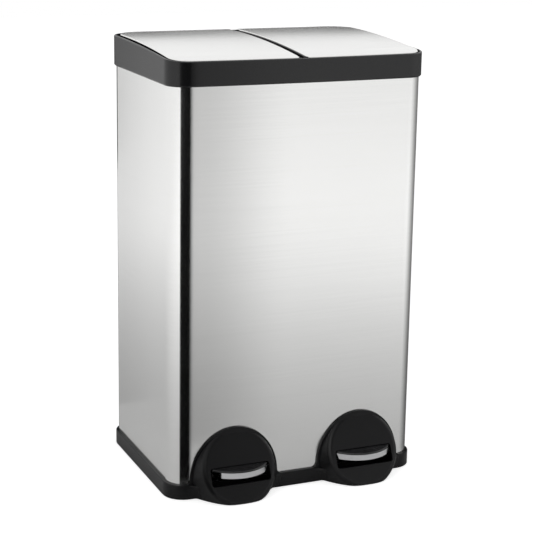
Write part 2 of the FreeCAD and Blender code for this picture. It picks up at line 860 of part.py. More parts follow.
def pedal_bracket(centre):
    """A folded steel bracket on the base plate, whose two cheeks hold the axle."""
    gap = "(lever_width + 2 * cheek_gap)"
    outer = f"({gap} + 2 * cheek_wall)"
    front_edge = "pivot_back - cheek_width / 2"
    height = "pivot_level - plate_top + axle_radius + 4"
    foot = block(
        centre, f"{outer} + 2 * bracket_flange", front_edge, "cheek_width", "plate_top", "cheek_wall"
    )
    uprights = cut(
        block(centre, outer, front_edge, "cheek_width", "plate_top", height),
        block(centre, gap, f"{front_edge} - 1", "cheek_width + 2", "plate_top - 1", "60"),
    )
    uprights = rounded(uprights, "cheek_width / 3", is_cheek_corner)
    bore = bar(
        "X", f"{centre} - {outer}", "pivot_back", "pivot_level", "axle_radius", f"2 * {outer}"
    )
    holes = [
        bar("Z", x, "pivot_back", "plate_top - 5", "screw_hole", "12")
        for x in bracket_screw_places(centre)
    ]
    return cut(fused(foot, uprights), bore, *holes)


def is_cheek_corner(edge):
    box = edge.BoundBox
    top = value("pivot_level + axle_radius + 4")
    return box.YLength < 1e-6 and box.ZLength < 1e-6 and abs(box.ZMax - top) < 1e-3


def bracket_screw_places(centre):
    across = "lever_width / 2 + cheek_gap + cheek_wall + bracket_flange / 2"
    return [f"{centre} - ({across})", f"{centre} + {across}"]


def pedal_axle(centre):
    """The pedal's axle, with a head at each end outside the bracket's cheeks."""
    half = "lever_width / 2 + cheek_gap + cheek_wall"
    corners = [
        ("0", f"0 - ({half}) - axle_radius / 2"),
        ("axle_radius * 1.5", f"0 - ({half}) - axle_radius / 2"),
        ("axle_radius * 1.5", f"0 - ({half})"),
        ("axle_radius", f"0 - ({half})"),
        ("axle_radius", half),
        ("axle_radius * 1.5", half),
        ("axle_radius * 1.5", f"{half} + axle_radius / 2"),
        ("0", f"{half} + axle_radius / 2"),
    ]
    return turned("Axle", corners, centre, "pivot_back", "pivot_level", TURNS["X"])


# ---------------------------------------------------------------- push rods and guides
def push_rod(centre):
    corners = [
        ("0", "0"),
        ("rod_radius * 0.7", "0"),
        ("rod_radius", "rod_radius * 0.5"),
        ("rod_radius", "rod_top - rod_low"),
        ("0", "rod_top - rod_low"),
    ]
    return turned("Rod", corners, centre, "rod_back", "rod_low")


def rod_cap(centre):
    """The moulded cap on the rod's top, domed where it meets the lid's ear."""
    corners = [
        ("rod_radius", "0 - cap_height"),
        ("cap_radius", "0 - cap_height"),
        ("cap_radius", "0 - cap_radius"),
        ("cap_radius * cos(30)", "0 - cap_radius / 2"),
        ("cap_radius / 2", "cap_radius * (cos(30) - 1)"),
        ("0", "0"),
        ("0", "0 - cap_height / 2"),
        ("rod_radius", "0 - cap_height / 2"),
    ]
    return turned("Cap", corners, centre, "rod_back", "cap_top")


def rivet_bars(centre, level, radius, y, length):
    """Round bars where a guide's two rivets pass the steel back."""
    z = f"{level} + guide_height / 2"
    return [
        bar("Y", f"{centre} {sign} guide_width / 3", y, z, radius, length) for sign in ("-", "+")
    ]


def rod_guide(centre, level):
    """A moulded bracket on the steel back, with an eye that the push rod slides in."""
    wall = "back - steel_wall"
    plate = block(
        centre, "guide_width", f"{wall} - guide_wall", "guide_wall", level, "guide_height"
    )
    stem = block(
        centre, "2 * (rod_radius + guide_wall)", "rod_back",
        f"{wall} - guide_wall / 2 - (rod_back)", level, "guide_height",
    )
    eye = bar("Z", centre, "rod_back", level, "rod_radius + guide_wall + slide_gap", "guide_height")
    bore = bar(
        "Z", centre, "rod_back", f"{level} - 1", "rod_radius + slide_gap", "guide_height + 2"
    )
    holes = rivet_bars(centre, level, "screw_hole", "back - 12", "20")
    return cut(fused(plate, stem, eye), bore, *holes)


def guide_rivets():
    rivets = []
    for side in SIDES.values():
        centre = f"{side} * half_spacing"
        for level in ("lower_guide", "upper_guide"):
            shanks = rivet_bars(
                centre, level, "screw_radius", "back - steel_wall - guide_wall",
                "steel_wall + guide_wall",
            )
            heads = rivet_bars(centre, level, "screw_head", "back", "screw_radius / 2")
            rivets += [fused(shank, head) for shank, head in zip(shanks, heads)]
    return group(rivets)


def screw(x, y, seat):
    """A pan-head screw whose head sits on z = seat."""
    corners = [
        ("0", "0 - screw_length + 1"),
        ("screw_radius / 2", "0 - screw_length + 1"),
        ("screw_radius", "0 - screw_length + 2"),
        ("screw_radius", "0"),
        ("screw_head", "0"),
        ("screw_head", "screw_head_height / 2"),
        ("screw_head * 0.6", "screw_head_height"),
        ("0", "screw_head_height"),
    ]
    return turned("Screw", corners, x, y, seat)


def floor_screws():
    return group([screw(x, y, "floor_top") for x, y in column_places()])


def bracket_screws():
    screws = []
    for side in SIDES.values():
        for x in bracket_screw_places(f"{side} * half_spacing"):
            seat = "plate_top + cheek_wall"
            head = bar("Z", x, "pivot_back", seat, "screw_head", "screw_head_height")
            shank = bar("Z", x, "pivot_back", "plate_low", "screw_radius", f"{seat} - plate_low")
            screws.append(fused(head, shank))
    return group(screws)


# ---------------------------------------------------------------- top rim
def ear_places(centre):
    """The rim's hinge ears, one on each side of each barrel."""
    for barrel in ("-", "+"):
        for end in ("-", "+"):
            reach = "(barrel_length / 2 + ear_gap + ear_wall / 2)"
            yield f"{centre} {barrel} barrel_pitch / 2 {end} {reach}"


def top_rim():
    crest = crowned("back", "rim_back_top", "rim_crown")
    blank = common(prism("rim_proud", "rim_low", "rim_back_top + 10"), crest)
    edge_level = value("web_low")

    def is_top_edge(edge):
        return edge.BoundBox.ZMin > edge_level and not is_upright(edge)

    blank = bevelled(blank, "rim_edge_bevel", is_top_edge)
    blank = bevelled(blank, "rim_foot_bevel", lies_at("rim_low"))
    tools = [
        prism("crest_offset", "web_top", "rim_back_top + 20"),
        prism("fit_gap", "rim_low - 1", "web_low"),
    ]
    solid = cut(blank, *tools)
    skirts = []
    mouths = []
    for side in SIDES.values():
        centre = bay(side)
        mouth = rounded_block(
            centre, "mouth_width", "mouth_front", "mouth_depth", "rim_low - 1",
            "web_rise + web_wall + 10", "mouth_round",
        )
        collar = rounded_block(
            centre, "mouth_width + 2 * mouth_wall", "mouth_front - mouth_wall",
            "mouth_depth + 2 * mouth_wall", "rim_low", "web_rise + web_wall / 2",
            "mouth_round + mouth_wall",
        )
        skirts.append(collar)
        mouths.append(mouth)
    backs = []
    for side in SIDES.values():
        centre = f"{side} * half_spacing"
        slot_front = "rod_back - cap_radius - 2"
        mouths.append(
            rounded_block(
                centre, "lift_wall + 12", slot_front, f"hinge_back - 4 - ({slot_front})",
                "web_low - 5", "web_wall + 10", "2",
            )
        )
        for x in ear_places(centre):
            post = block(
                x, "ear_wall", "hinge_back - barrel_radius + 0.4", "2 * barrel_radius - 0.8",
                "web_low", "hinge_level - web_low",
            )
            knob = bar(
                "X", f"{x} - ear_wall / 2", "hinge_back", "hinge_level", "barrel_radius - 0.4",
                "ear_wall",
            )
            bore = bar(
                "X", f"{x} - ear_wall", "hinge_back", "hinge_level", "pin_radius + running_gap",
                "2 * ear_wall",
            )
            backs.append(cut(fused(post, knob), bore))
    divider_front = "front - front_bow - crest_offset"
    divider = common(
        block("0", "bar_width", divider_front, "body_depth - hinge_inset", "web_low", "40"),
        crowned("back", "rim_back_top - bar_drop", "rim_crown"),
    )
    return fused(cut(fused(solid, *skirts), *mouths), divider, *backs)


# ---------------------------------------------------------------- lids
def lid_plan(side, inset, low, high):
    """One lid's plan, drawn in by inset, as a block: half the outline with a round inner corner."""
    whole = prism(f"0 - lid_inset - ({inset})", low, high)
    inner = f"lid_half_gap + {inset}"
    half = block(
        f"{side} * (body_width / 4 + ({inner}) / 2)", f"body_width / 2 - ({inner})",
        f"front - front_bow + lid_inset + {inset}", "body_depth + 2 * front_bow", low,
        f"({high}) - ({low})",
    )
    edge_x = value(f"{side} * ({inner})")
    edge_y = value("front + 10")

    def is_inner_front(edge):
        box = edge.BoundBox
        return is_upright(edge) and abs(box.XMin - edge_x) < 1e-3 and box.YMin < edge_y

    width = f"body_width - 2 * (lid_inset + {inset})"
    middle, far = "(front + back) / 2", "(body_depth)"
    clear = rounded_block(
        "0", width, f"{middle} - {far}", f"back - lid_inset - ({inset}) - ({middle} - {far})", low,
        f"({high}) - ({low})", f"lid_back_corner - ({inset})",
    )
    return rounded(common(whole, half, clear), f"lid_corner - ({inset})", is_inner_front)


def lid_crest(drop):
    return crowned("front + lid_crown_depth", f"lid_top - ({drop})", f"lid_crown - ({drop})")


def lid_block(side, inset, bevel):
    """The space under one lid's crest, drawn in by inset, with its upper edges bevelled."""

    def is_upper(edge):
        return edge.BoundBox.ZMin > value("liner_low + 4") and not is_upright(edge)

    plan = lid_plan(side, inset, "liner_low", "lid_top + 10")
    return bevelled(common(plan, lid_crest(inset)), bevel, is_upper)


def lid_skin(side):
    """The pressed steel lid: crowned from front to back, with a short hem turned down."""
    low, high = "liner_low", "lid_top + 10"
    outside = lid_block(side, "0", "skin_bevel")
    inside = lid_block(side, "skin_wall", "skin_bevel - skin_wall / 2")
    beyond = block("0", "2 * body_width", "back - hinge_inset - 6", "60", low, "60")
    below = common(lid_plan(side, "0 - 1", low, high), lid_crest("skin_hem"))
    tail = common(lid_plan(side, "0 - 1", low, high), lid_crest("skin_wall"), beyond)
    return cut(outside, inside, below, tail)


def hinge_bar(centre, length, radius):
    return bar("X", f"{centre} - ({length}) / 2", "hinge_back", "hinge_level", radius, length)


def lid_liner(side):
    """The moulded inside of a lid, with its hinge barrels and the ear that the push rod lifts."""
    gap = "skin_wall + liner_gap"
    shell = lid_block(side, gap, "skin_bevel - skin_wall / 2")
    hollow = common(
        lid_plan(side, f"{gap} + liner_wall", "liner_low - 1", "lid_top + 10"),
        lid_crest(f"{gap} + liner_wall"),
    )
    wall_front = "hinge_back - liner_back"
    low, high = "liner_low - 2", "2 * rim_height"
    rear = block("0", "2 * body_width", f"{wall_front} + liner_wall", "body_depth", low, high)
    rear_of_hollow = block("0", "2 * body_width", wall_front, "body_depth", low, high)
    shell = cut(shell, cut(hollow, rear_of_hollow), rear)
    centre = f"{side} * half_spacing"
    solids = [shell]
    arms_front = "hinge_back - liner_back + liner_wall / 2"
    arm_depth = "liner_back - liner_wall / 2"
    for sign in ("-", "+"):
        middle = f"{centre} {sign} barrel_pitch / 2"
        solids.append(hinge_bar(middle, "barrel_length", "barrel_radius"))
        solids.append(
            block(middle, "barrel_length", arms_front, arm_depth, "hinge_level - barrel_radius + 1",
                  "2 * barrel_radius - 2")
        )
    solids.append(hinge_bar(centre, "lift_wall", "barrel_radius"))
    solids.append(
        block(centre, "lift_wall", arms_front, arm_depth, "hinge_level - barrel_radius + 1",
              "2 * barrel_radius - 2")
    )
    solids.append(
        bar("X", f"{centre} - lift_wall / 2", "nose_back", "nose_level", "lift_nose", "lift_wall")
    )
    run_y, run_z = "cos(lift_angle)", "sin(lift_angle)"
    shin = [
        (f"hinge_back - lift_nose * {run_z}", f"hinge_level + lift_nose * {run_y}"),
        (f"nose_back - lift_nose * {run_z}", f"nose_level + lift_nose * {run_y}"),
        (f"nose_back + lift_neck * {run_z}", f"nose_level - lift_neck * {run_y}"),
        (f"hinge_back + lift_neck * {run_z}", f"hinge_level - lift_neck * {run_y}"),
    ]
    solids.append(side_profile("Shin", shin, centre, "lift_wall"))
    for sign in ("-", "+"):
        rib = block(
            f"{centre} {sign} barrel_pitch / 4", "rib_wall", "front + lid_inset + 8",
            "hinge_back - liner_back - (front) - lid_inset - 8", "liner_low + 2", "60",
        )
        solids.append(common(rib, lid_crest(f"{gap} + liner_wall / 2")))
    bore = hinge_bar(centre, "2 * barrel_pitch", "pin_radius + running_gap")
    return cut(fused(*solids), bore)


def hinge_pin(centre):
    """The steel pin through a lid's barrels and the rim's ears."""
    half = "barrel_pitch / 2 + barrel_length / 2 + ear_gap + ear_wall"
    corners = [
        ("0", f"0 - ({half})"),
        ("pin_radius - 0.5", f"0 - ({half})"),
        ("pin_radius", f"0.5 - ({half})"),
        ("pin_radius", f"{half} - 0.5"),
        ("pin_radius - 0.5", half),
        ("0", half),
    ]
    return turned("Pin", corners, centre, "hinge_back", "hinge_level", TURNS["X"])


def lid_buffers(side):
    """Two rubber buffers on the rim's web, under the front wall of a lid's liner."""
    pads = []
    for sign in ("-", "+"):
        x = f"{side} * (half_spacing {sign} buffer_spread)"
        bow = f"front_bow * (1 - (2 * ({x}) / body_width) ^ 2)"
        y = f"front - {bow} + lid_inset + skin_wall + liner_gap + liner_wall / 2"
        height = "liner_low - web_top - rest_gap"
        pads.append(bar("Z", x, y, "web_top", "buffer_radius", height))
    return group(pads)


# ---------------------------------------------------------------- all nodes
def all_nodes():
    nodes = {
        "base_moulding": base_moulding(),
        "anti_slip_feet": feet(),
        "body_shell": body_shell(),
        "inner_floor": inner_floor(),
        "floor_screws": floor_screws(),
        "bracket_screws": bracket_screws(),
        "guide_rivets": guide_rivets(),
        "top_rim": top_rim(),
    }
    for name, side in SIDES.items():
        centre = f"{side} * half_spacing"
        nodes["lid_skin_" + name] = lid_skin(side)
        nodes["lid_liner_" + name] = lid_liner(side)
        nodes["lid_buffers_" + name] = lid_buffers(side)
        nodes["hinge_pin_" + name] = hinge_pin(centre)
        nodes["bucket_" + name] = bucket(side)
        nodes["pedal_trim_" + name] = pedal_trim(centre)
        nodes["pedal_pad_" + name] = pedal_pad(centre)
        nodes["pedal_lever_" + name] = pedal_lever(centre)
        nodes["pedal_bracket_" + name] = pedal_bracket(centre)
        nodes["pedal_axle_" + name] = pedal_axle(centre)
        nodes["push_rod_" + name] = push_rod(centre)
        nodes["rod_cap_" + name] = rod_cap(centre)
        nodes["rod_guide_lower_" + name] = rod_guide(centre, "lower_guide")
        nodes["rod_guide_upper_" + name] = rod_guide(centre, "upper_guide")
    return nodes


def main():
    nodes = all_nodes()
    doc.recompute()
    for item in doc.Objects:
        if "Invalid" in item.State or "Error" in item.State:
            raise ValueError(f"{item.Name} ({item.Label}) is {item.State}")
    os.makedirs("parts", exist_ok=True)
    for name, item in nodes.items():
        item.Label = name
        if item.Shape.isNull() or not item.Shape.isValid():
            raise ValueError(f"{name} has no valid shape")
        print(name, len(item.Shape.Solids), "solids", round(item.Shape.Volume), "mm3")
    for name, item in nodes.items():
        item.Shape.exportStep(f"parts/{name}.step")


main()
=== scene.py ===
"""Dresses the double recycling bin in brushed steel and black plastic, in a pale studio."""

import json
import math

import bmesh
import bpy
from bpy.props import FloatProperty, FloatVectorProperty, PointerProperty
from bpy.types import Operator, Panel, PropertyGroup
from bpy.utils import register_class, unregister_class
from mathutils import Matrix, Vector
from mathutils.bvhtree import BVHTree


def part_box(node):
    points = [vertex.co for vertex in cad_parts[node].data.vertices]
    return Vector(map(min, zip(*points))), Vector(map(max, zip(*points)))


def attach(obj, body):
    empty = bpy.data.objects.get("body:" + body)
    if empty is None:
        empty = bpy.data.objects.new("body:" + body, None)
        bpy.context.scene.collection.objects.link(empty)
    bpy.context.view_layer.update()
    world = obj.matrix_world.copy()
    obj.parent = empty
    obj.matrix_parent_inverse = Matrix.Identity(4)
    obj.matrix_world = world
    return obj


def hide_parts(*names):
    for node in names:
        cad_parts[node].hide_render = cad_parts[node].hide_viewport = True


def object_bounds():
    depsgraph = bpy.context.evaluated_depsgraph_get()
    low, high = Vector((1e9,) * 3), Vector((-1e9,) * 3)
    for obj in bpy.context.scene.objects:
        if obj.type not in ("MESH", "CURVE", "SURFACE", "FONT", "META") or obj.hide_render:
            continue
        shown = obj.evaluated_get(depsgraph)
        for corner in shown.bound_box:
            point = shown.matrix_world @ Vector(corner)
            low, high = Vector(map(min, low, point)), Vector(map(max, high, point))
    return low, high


bl_info = {
    "name": "Double Recycling Bin",
    "version": (1, 0, 0),
    "blender": (4, 2, 0),
    "location": "View3D > Sidebar > Recycling Bin",
    "description": "Finishes, trim and studio for a double recycling bin with two pedals",
    "category": "Object",
}

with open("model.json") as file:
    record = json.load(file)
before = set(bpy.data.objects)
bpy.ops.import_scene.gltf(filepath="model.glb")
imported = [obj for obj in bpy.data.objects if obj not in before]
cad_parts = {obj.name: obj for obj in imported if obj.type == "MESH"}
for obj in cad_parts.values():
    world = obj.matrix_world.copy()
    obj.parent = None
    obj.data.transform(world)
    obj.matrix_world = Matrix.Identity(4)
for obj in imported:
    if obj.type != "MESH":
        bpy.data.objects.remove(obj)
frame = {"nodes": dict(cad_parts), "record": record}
CAD_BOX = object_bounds()
NODES = frame["nodes"]
FINISH_OF = {part["node"]: part["material_slot"] for part in frame["record"]["subparts"]}

# The base has the rim's slot in the record, and a duller finish of its own here.
FINISHES_OF_THEIR_OWN = {"base_moulding": "base_plastic"}
SIDES = {"left": -1, "right": 1}

# Where the CAD nodes put the parts that new pieces, cards and camera are fitted to, in metres.
WRAP_LOW, WRAP_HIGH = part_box("body_shell")
BASE_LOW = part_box("base_moulding")[0]
PAD_LOW, PAD_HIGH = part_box("pedal_pad_right")
HALF_SPACING = (PAD_LOW.x + PAD_HIGH.x) / 2
FRONT_BOW = 0.005  # how far the wrap's front stands out in its middle

# Noise stays mostly between these levels.
NOISE_LOW, NOISE_HIGH = 0.3, 0.7

# A scratch of the brushing is this many times as long as it is wide.
GRAIN_LENGTH = 260

# Faces whose normal rises less than the first are upright edges, and above the second bare steel;
# on the lid steel the upright edges are painted black as painted shade.
EDGE_RISE, TOP_RISE = 0.25, 0.35

# The sockets of a Mix node for colours: its two inputs and its output.
MIX_FIRST, MIX_SECOND, MIX_RESULT = 6, 7, 2


# ---------------------------------------------------------------- settings
class SteelSettings(PropertyGroup):
    colour: FloatVectorProperty(
        name="Colour",
        description="Colour of the brushed steel",
        subtype="COLOR",
        size=3,
        min=0,
        max=1,
        default=(0.83, 0.83, 0.82),
    )
    roughness: FloatProperty(
        name="Roughness",
        description="How far the brushed steel spreads a reflection",
        subtype="FACTOR",
        min=0,
        max=1,
        default=0.17,
    )
    grain_width: FloatProperty(
        name="Grain width",
        description="Width of one scratch of the brushing",
        subtype="DISTANCE",
        unit="LENGTH",
        min=0.0001,
        default=0.0009,
    )


class PlasticSettings(PropertyGroup):
    colour: FloatVectorProperty(
        name="Colour",
        description="Colour of the moulded rim, base and hinges",
        subtype="COLOR",
        size=3,
        min=0,
        max=1,
        default=(0.0045, 0.0045, 0.005),
    )
    bucket_colour: FloatVectorProperty(
        name="Bucket colour",
        description="Colour of the two buckets and the inner floor",
        subtype="COLOR",
        size=3,
        min=0,
        max=1,
        default=(0.055, 0.056, 0.060),
    )
    texture_size: FloatProperty(
        name="Texture size",
        description="Size of the fine mould texture",
        subtype="DISTANCE",
        unit="LENGTH",
        min=0.0001,
        default=0.0007,
    )


class TrimSettings(PropertyGroup):
    blend_radius: FloatProperty(
        name="Blend radius",
        description="Radius of the curve between a pedal dome's foot and the skirt",
        subtype="DISTANCE",
        unit="LENGTH",
        min=0.005,
        default=0.020,
    )
    lid_trim: FloatProperty(
        name="Lid trim",
        description="How far each lid's steel stops short of the other lid",
        subtype="DISTANCE",
        unit="LENGTH",
        min=0,
        max=0.004,
        default=0.0025,
    )


class StudioSettings(PropertyGroup):
    key_power: FloatProperty(
        name="Key light",
        description="Power of the large soft light on the front left",
        subtype="POWER",
        unit="POWER",
        min=0,
        default=26,
    )
    fill_power: FloatProperty(
        name="Fill light",
        description="Power of the soft light on the right",
        subtype="POWER",
        unit="POWER",
        min=0,
        default=10,
    )
    floor_size: FloatProperty(
        name="Floor size",
        description="Width and depth of the pale floor",
        subtype="DISTANCE",
        unit="LENGTH",
        min=2,
        default=14,
    )


GROUPS = {
    "bin_steel": SteelSettings,
    "bin_plastic": PlasticSettings,
    "bin_trim": TrimSettings,
    "bin_studio": StudioSettings,
}


# ---------------------------------------------------------------- materials
def finish_for(slot):
    """The finish made here for a slot; the materials that came with the nodes stay unused."""
    return bpy.data.materials["finish_" + slot]


class Nodes:
    """A material's node tree, with short calls to add and join its nodes."""

    def __init__(self, name):
        self.material = bpy.data.materials.new(name)
        self.material.use_nodes = True
        self.tree = self.material.node_tree
        self.shader = self.tree.nodes["Principled BSDF"]
        self.place = self.tree.nodes.new("ShaderNodeTexCoord").outputs["Object"]

    def add(self, kind, inputs=None, **settings):
        node = self.tree.nodes.new(kind)
        for name, setting in settings.items():
            setattr(node, name, setting)
        for name, source in (inputs or {}).items():
            if isinstance(source, bpy.types.NodeSocket):
                self.tree.links.new(source, node.inputs[name])
            else:
                node.inputs[name].default_value = source
        return node

    def noise(self, size, stretch=(1, 1, 1), detail=2):
        """Noise with features of a size in metres, drawn out along each axis by stretch."""
        scale = [1 / (size * length) for length in stretch]
        mapping = self.add("ShaderNodeMapping", {"Vector": self.place, "Scale": scale})
        inputs = {"Vector": mapping.outputs["Vector"], "Scale": 1, "Detail": detail}
        return self.add("ShaderNodeTexNoise", inputs).outputs["Fac"]

    def between(self, source, low, high, floor=NOISE_LOW, ceiling=NOISE_HIGH):
        """The source's values from floor to ceiling, moved to run from low to high."""
        inputs = {
            "Value": source, "From Min": floor, "From Max": ceiling, "To Min": low, "To Max": high,
        }
        return self.add("ShaderNodeMapRange", inputs).outputs["Result"]

    def tint(self, source, colour, spread):
        """The colour, a little darker and lighter where the source is low and high."""
        ramp = self.add("ShaderNodeValToRGB", {"Fac": source})
        levels = (NOISE_LOW, NOISE_HIGH)
        factors = (1 - spread, 1 + spread)
        for stop, level, factor in zip(ramp.color_ramp.elements, levels, factors):
            stop.position = level
            stop.color = [min(1, channel * factor) for channel in colour] + [1]
        return ramp.outputs["Color"]

    def bump(self, height, distance, strength, below=None):
        inputs = {"Height": height, "Distance": distance, "Strength": strength}
        if below is not None:
            inputs["Normal"] = below
        return self.add("ShaderNodeBump", inputs).outputs["Normal"]

    def finish(self, links, **uniform):
        for name, source in links.items():
            self.tree.links.new(source, self.shader.inputs[name])
        for name, setting in uniform.items():
            self.shader.inputs[name.replace("_", " ")].default_value = setting
        return self.material


def brushed_steel(name, stretch, tangent_axis, edge_shade=None):
    """Steel brushed along the long axes of stretch; a given dark colour covers its upright edges
    as painted shade.
    """
    steel = bpy.context.scene.bin_steel
    nodes = Nodes(name)
    grain = nodes.noise(steel.grain_width, stretch, detail=4)
    cloud = nodes.noise(0.18)
    tangent = nodes.add("ShaderNodeTangent", direction_type="RADIAL", axis=tangent_axis)
    links = {
        "Base Color": nodes.tint(grain, steel.colour, 0.02),
        "Roughness": nodes.between(cloud, steel.roughness - 0.02, steel.roughness + 0.02),
        "Normal": nodes.bump(grain, 0.00002, 0.12),
        "Tangent": tangent.outputs["Tangent"],
    }
    uniform = {"Anisotropic": 0.5, "Anisotropic_Rotation": 0.25}
    if edge_shade is None:
        return nodes.finish(links, Metallic=1.0, **uniform)
    # Painted shade: upright faces take the dark colour and lose their metal, so the lid's edges
    # show as the dark gap around it.
    facing = nodes.add("ShaderNodeNewGeometry").outputs["True Normal"]
    rise = nodes.add("ShaderNodeSeparateXYZ", {"Vector": facing}).outputs["Z"]
    unshaded_top = nodes.between(rise, 0, 1, EDGE_RISE, TOP_RISE)
    colour = nodes.add("ShaderNodeMix", {"Factor": unshaded_top}, data_type="RGBA")
    colour.inputs[MIX_FIRST].default_value = (*edge_shade, 1)
    nodes.tree.links.new(links["Base Color"], colour.inputs[MIX_SECOND])
    links["Base Color"] = colour.outputs[MIX_RESULT]
    links["Metallic"] = unshaded_top
    return nodes.finish(links, **uniform)


def polished_chrome(name):
    nodes = Nodes(name)
    haze = nodes.noise(0.012)
    wear = nodes.noise(0.0006, detail=3)
    links = {
        "Base Color": nodes.tint(haze, (0.72, 0.72, 0.73), 0.02),
        "Roughness": nodes.between(wear, 0.06, 0.12),
        "Normal": nodes.bump(haze, 0.0002, 0.05),
    }
    return nodes.finish(links, Metallic=1.0)


def zinc_plate(name):
    """Pressed steel with the cloudy, slightly rough look of zinc plating."""
    nodes = Nodes(name)
    cloud = nodes.noise(0.009, detail=3)
    pits = nodes.noise(0.0008)
    links = {
        "Base Color": nodes.tint(cloud, (0.52, 0.53, 0.54), 0.10),
        "Roughness": nodes.between(cloud, 0.34, 0.46),
        "Normal": nodes.bump(pits, 0.00003, 0.2),
    }
    return nodes.finish(links, Metallic=1.0)


def moulded_plastic(name, colour, roughness, depth, gloss):
    """Plastic with a fine mould texture and faint changes of gloss from the cooling."""
    nodes = Nodes(name)
    texture = nodes.noise(bpy.context.scene.bin_plastic.texture_size, detail=3)
    flow = nodes.noise(0.07)
    wave = nodes.bump(flow, 0.0012, 0.10)
    links = {
        "Base Color": nodes.tint(flow, colour, 0.10),
        "Roughness": nodes.between(texture, roughness - 0.04, roughness + 0.04),
        "Normal": nodes.bump(texture, depth, 0.35, below=wave),
    }
    return nodes.finish(links, IOR=1.49, Specular_IOR_Level=gloss)


def soft_rubber(name, colour, roughness):
    nodes = Nodes(name)
    grain = nodes.noise(0.0005, detail=4)
    dust = nodes.noise(0.014, detail=3)
    links = {
        "Base Color": nodes.tint(dust, colour, 0.18),
        "Roughness": nodes.between(dust, roughness - 0.06, roughness + 0.06),
        "Normal": nodes.bump(grain, 0.00006, 0.4),
    }
    return nodes.finish(links, IOR=1.5)


# ---------------------------------------------------------------- pieces
def new_piece(name, mesh, body, slot, finish=None):
    """A piece that rides on a body and has its slot's finish, or a finish of its own."""
    piece = bpy.data.objects.new(name, mesh)
    bpy.context.scene.collection.objects.link(piece)
    mesh.materials.append(finish_for(finish or slot))
    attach(piece, body)
    return piece


def rolled(profile, radius, step):
    """The profile with the hollows filled that a ball rolled along its front can't reach."""
    reach = round(radius / step)
    rise = [math.sqrt(max(0, radius**2 - (k * step) ** 2)) for k in range(-reach, reach + 1)]

    def swept_over(line, pick, sign):
        last = len(line) - 1
        return [
            pick(line[min(last, max(0, i + k - reach))] + sign * up for k, up in enumerate(rise))
            for i in range(last + 1)
        ]

    return swept_over(swept_over(profile, min, -1), max, 1)


class BIN_OT_foot_blends(Operator):
    """Fills the hollows where the two pedal domes stand on the skirt with smooth curves"""

    bl_idname = "recycling_bin.foot_blends"
    bl_label = "Foot blends"

    foot_offset = 0.064  # from a dome's middle to its foot
    lowest, highest = 0.0010, 0.0212  # of a blend, above the base's underside
    levels = 9
    spans = 16
    step = 0.001  # between the rays that feel the wall
    outside = 0.1  # how far in front of the base the rays start
    beyond = 0.014  # how much further than the ball's radius the rays reach to each side
    window = 0.016  # how far from the foot a hollow may lie
    parting = 0.0001  # a hollow is deeper than this
    sunk = 0.0015  # how deep a blend's back lies in the wall
    level_face = 0.7  # a face whose normal rises more than this is level, and stays flat

    def execute(self, context):
        radius = context.scene.bin_trim.blend_radius
        mesh = NODES["base_moulding"].data
        wall = BVHTree.FromPolygons(
            [vertex.co for vertex in mesh.vertices], [face.vertices for face in mesh.polygons]
        )
        low, high = BASE_LOW.z + self.lowest, BASE_LOW.z + self.highest
        heights = [low + (high - low) * k / (self.levels - 1) for k in range(self.levels)]
        for side_name, side in SIDES.items():
            for place, flank in (("inner", -1), ("outer", 1)):
                foot = side * (HALF_SPACING + flank * self.foot_offset)
                rows = [self.hollow(wall, foot, height, radius) for height in heights]
                name = "foot_blend_" + place + "_" + side_name
                mesh = self.blend(name, rows, heights)
                new_piece(name, mesh, "housing", "black_plastic", "base_plastic")
        return {"FINISHED"}

    def hollow(self, wall, foot, height, radius):
        """The wall and the rolled line in front of it, where the two part at a dome's foot."""
        reach = radius + self.beyond
        count = round(2 * reach / self.step) + 1
        xs = [foot - reach + self.step * i for i in range(count)]
        start = BASE_LOW.y - self.outside
        line = []
        for x in xs:
            hit = wall.ray_cast(Vector((x, start, height)), Vector((0, 1, 0)))[0]
            line.append(hit.y if hit else line[-1])
        filled = rolled(line, radius, self.step)
        parted = [
            i
            for i in range(count)
            if abs(xs[i] - foot) < self.window and line[i] - filled[i] > self.parting
        ]
        if not parted:
            raise RuntimeError("no hollow at the foot of a dome")
        first, last = parted[0] - 1, parted[-1] + 1
        places = [first + (last - first) * k / self.spans for k in range(self.spans + 1)]
        return [[self.at(values, place) for values in (xs, filled, line)] for place in places]

    def at(self, values, place):
        """The value at a place that may lie between two of the values."""
        i = min(int(place), len(values) - 2)
        part = place - i
        return values[i] * (1 - part) + values[i + 1] * part

    def blend(self, name, rows, heights):
        """A closed shell from the rolled line back into the wall, level by level."""
        shape = bmesh.new()
        loops = []
        for row, height in zip(rows, heights):
            front = [shape.verts.new((x, fill, height)) for x, fill, wall in row]
            back = [shape.verts.new((x, wall + self.sunk, height)) for x, fill, wall in row]
            loops.append(front + back[::-1])
        for low, high in zip(loops, loops[1:]):
            for i in range(len(low)):
                j = (i + 1) % len(low)
                shape.faces.new((low[i], low[j], high[j], high[i]))
        half = len(loops[0]) // 2
        for loop in (loops[0], loops[-1]):
            for i in range(half - 1):
                shape.faces.new((loop[i], loop[i + 1], loop[-2 - i], loop[-1 - i]))
        bmesh.ops.recalc_face_normals(shape, faces=shape.faces)
        mesh = bpy.data.meshes.new(name)
        shape.to_mesh(mesh)
        shape.free()
        for face in mesh.polygons:
            face.use_smooth = abs(face.normal.z) < self.level_face
        return mesh


